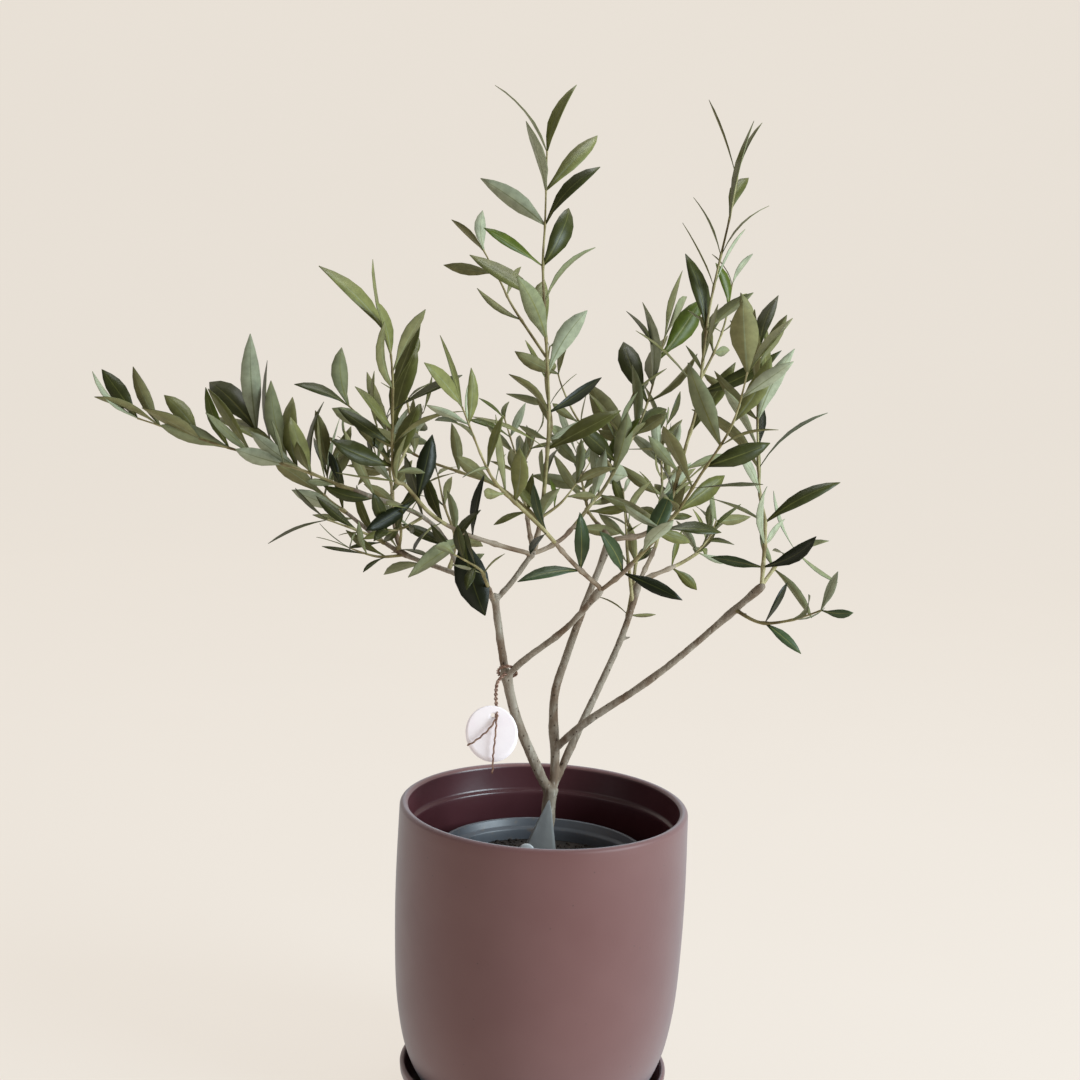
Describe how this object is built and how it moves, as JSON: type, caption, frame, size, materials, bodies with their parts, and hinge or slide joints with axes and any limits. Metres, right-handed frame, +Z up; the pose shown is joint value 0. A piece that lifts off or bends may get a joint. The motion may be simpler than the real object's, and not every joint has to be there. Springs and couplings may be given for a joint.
{
  "type": "potted olive tree",
  "caption": "Young open-crowned olive tree in a plastic nursery pot, standing in a rounded matte ceramic planter with a saucer, with a blank round hang tag.",
  "frame": {"origin": "centre of the saucer's flat underside, on the surface the plant stands on", "axes": "+Z up along the planter's axis; +X towards the low right bough, along the crown's widest spread; -Y towards the side it is looked at from"},
  "size_m": [0.6052, 0.4186, 0.852],
  "materials": {
    "ceramic": "matte glazed, dusky mauve brown",
    "nursery_plastic": "moulded, slightly worn",
    "potting_mix": "crumbly dark potting mix",
    "old_bark": "grey-tan bark with brown patches and lenticels",
    "young_bark": "smooth olive to brown young bark",
    "olive_leaf": "leathery, dark above and silvery grey-green below",
    "tag_card": "satin card, blank",
    "tie_wire": "copper-brown coated tie",
    "clear_film": "frosted translucent film"
  },
  "bodies": {
    "root": {"saucer": "ceramic", "planter": "ceramic", "nursery_pot": "nursery_plastic", "potting_mix": "potting_mix", "trunk": "old_bark", "left_limb": "old_bark", "left_limb_upper": "old_bark", "front_bough": "old_bark", "centre_limb": "old_bark", "right_limb": "old_bark", "low_right_limb": "old_bark", "middle_bough": "old_bark", "left_bough": "old_bark", "brown_bough": "old_bark", "front_left_stem": "young_bark", "front_right_stem": "young_bark", "left_shoot_stem": "young_bark", "centre_shoot_stem": "young_bark", "centre_right_stem": "young_bark", "right_shoot_stem": "young_bark", "inner_right_stem": "young_bark", "back_right_stem": "young_bark", "outer_right_stem": "young_bark", "back_centre_stem": "young_bark", "back_left_stem": "young_bark", "inner_left_stem": "young_bark", "tag_tie": "tie_wire", "hanging_tag": "tag_card", "clear_film": "clear_film", "far_left_foliage": "olive_leaf", "left_outer_foliage": "olive_leaf", "left_tall_foliage": "olive_leaf", "front_left_foliage": "olive_leaf", "crown_top_foliage": "olive_leaf", "crown_left_foliage": "olive_leaf", "centre_right_foliage": "olive_leaf", "front_right_foliage": "olive_leaf", "right_tall_foliage": "olive_leaf", "right_outer_foliage": "olive_leaf", "low_right_foliage": "olive_leaf", "right_low_foliage": "olive_leaf", "outer_right_foliage": "olive_leaf", "back_right_foliage": "olive_leaf", "inner_right_foliage": "olive_leaf", "back_centre_foliage": "olive_leaf", "back_left_foliage": "olive_leaf", "inner_left_foliage": "olive_leaf"}
  },
  "joints": []
}
